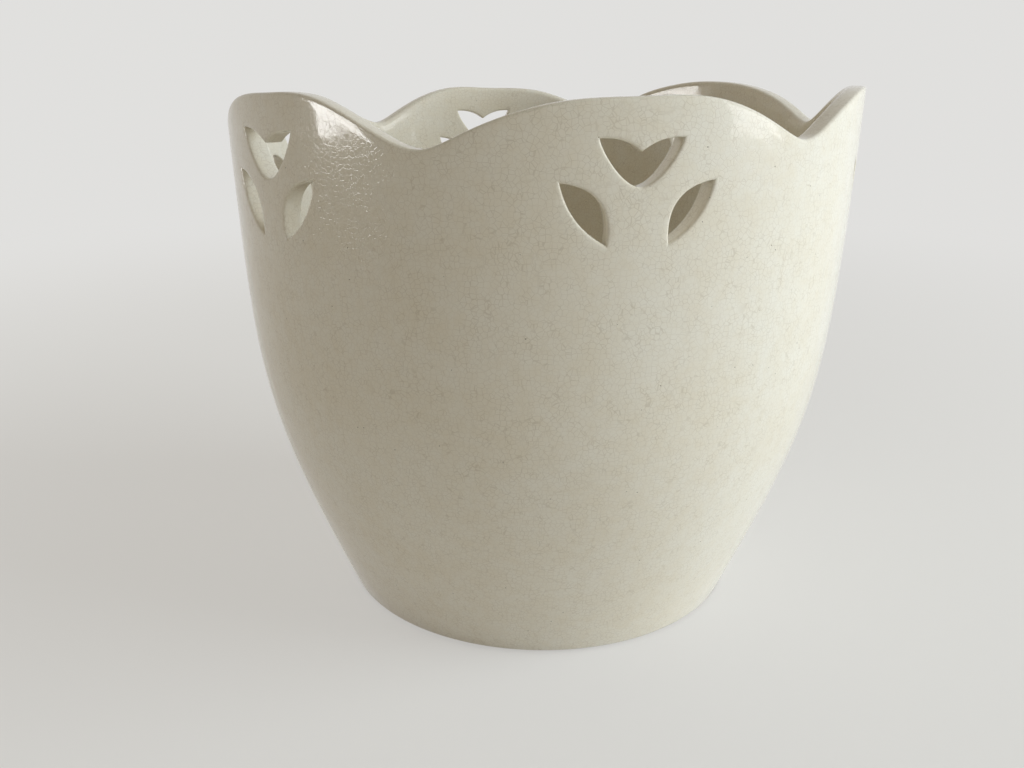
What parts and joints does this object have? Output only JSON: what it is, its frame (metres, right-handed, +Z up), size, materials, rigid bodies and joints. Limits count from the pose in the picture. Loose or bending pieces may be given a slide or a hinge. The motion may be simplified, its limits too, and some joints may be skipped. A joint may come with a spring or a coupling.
{
  "type": "flower pot",
  "caption": "Round glazed earthenware flower pot, tapering to a bare foot ring, with a scalloped lip and a pierced motif of a chevron and leaves in each lobe.",
  "frame": {"origin": "centre of the foot, on the plane that the pot stands on", "axes": "+Z up along the pot's axis; -Y towards the middle of the front lobe of the lip; +X to the right of that lobe"},
  "size_m": [0.1896, 0.19, 0.1611],
  "materials": {
    "fired_clay": "bare fired earthenware, matt and slightly rough",
    "crackle_glaze": "glossy ivory glaze with fine crazing"
  },
  "bodies": {
    "root": {"clay_body": "fired_clay", "glaze_coat": "crackle_glaze"}
  },
  "joints": []
}
